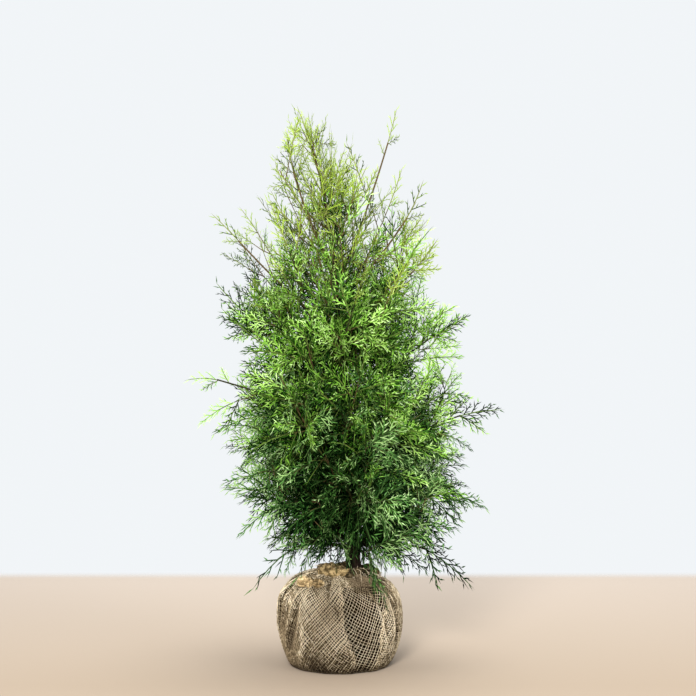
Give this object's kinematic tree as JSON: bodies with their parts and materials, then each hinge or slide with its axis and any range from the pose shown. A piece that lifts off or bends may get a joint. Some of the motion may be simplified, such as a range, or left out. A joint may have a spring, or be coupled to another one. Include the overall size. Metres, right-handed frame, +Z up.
{
  "type": "arborvitae sapling with root ball",
  "caption": "Upright evergreen conifer sapling with feathery flat sprays, standing on a round root ball wrapped in tied hessian.",
  "frame": {"origin": "middle of the root ball's flat underside, on the surface that the plant stands on", "axes": "+Z up along the plant, -Y towards the front, +X to the right seen from the front"},
  "size_m": [0.7393, 0.5672, 1.262],
  "materials": {
    "hessian": "matte",
    "hessian_edge": "matte",
    "bark": "matte",
    "foliage_low": "matte",
    "foliage_middle": "matte",
    "foliage_high": "matte"
  },
  "bodies": {
    "root": {"root_ball": "hessian", "hessian_collar": "hessian_edge", "hessian_knot_left": "hessian_edge", "hessian_knot_back": "hessian_edge", "trunk": "bark", "high_left_bough": "bark", "high_right_bough": "bark", "left_shoot_bough": "bark", "long_left_bough": "bark", "lower_back_left_bough": "bark", "lower_front_bough": "bark", "lower_left_bough": "bark", "lower_right_bough": "bark", "middle_back_bough": "bark", "middle_back_right_bough": "bark", "middle_front_bough": "bark", "middle_front_left_bough": "bark", "middle_left_bough": "bark", "middle_right_bough": "bark", "right_leader_bough": "bark", "right_shoot_bough": "bark", "skirt_back_left_bough": "bark", "skirt_back_right_bough": "bark", "skirt_front_left_bough": "bark", "skirt_front_right_bough": "bark", "skirt_left_bough": "bark", "skirt_right_bough": "bark", "upper_left_bough": "bark", "upper_right_bough": "bark", "high_back_foliage": "foliage_middle", "high_front_foliage": "foliage_middle", "high_left_foliage": "foliage_middle", "high_right_foliage": "foliage_middle", "leader_foliage": "foliage_high", "left_shoot_foliage": "foliage_high", "long_left_foliage": "foliage_middle", "lower_back_foliage": "foliage_low", "lower_back_left_foliage": "foliage_low", "lower_front_foliage": "foliage_low", "lower_left_foliage": "foliage_low", "lower_right_foliage": "foliage_low", "middle_back_foliage": "foliage_middle", "middle_back_right_foliage": "foliage_middle", "middle_front_foliage": "foliage_middle", "middle_front_left_foliage": "foliage_middle", "middle_left_foliage": "foliage_middle", "middle_right_foliage": "foliage_middle", "right_leader_foliage": "foliage_high", "right_shoot_foliage": "foliage_high", "skirt_back_left_foliage": "foliage_low", "skirt_back_right_foliage": "foliage_low", "skirt_front_left_foliage": "foliage_low", "skirt_front_right_foliage": "foliage_low", "skirt_left_foliage": "foliage_low", "skirt_right_foliage": "foliage_low", "upper_back_foliage": "foliage_high", "upper_front_foliage": "foliage_high", "upper_left_foliage": "foliage_high", "upper_right_foliage": "foliage_high"}
  },
  "joints": []
}
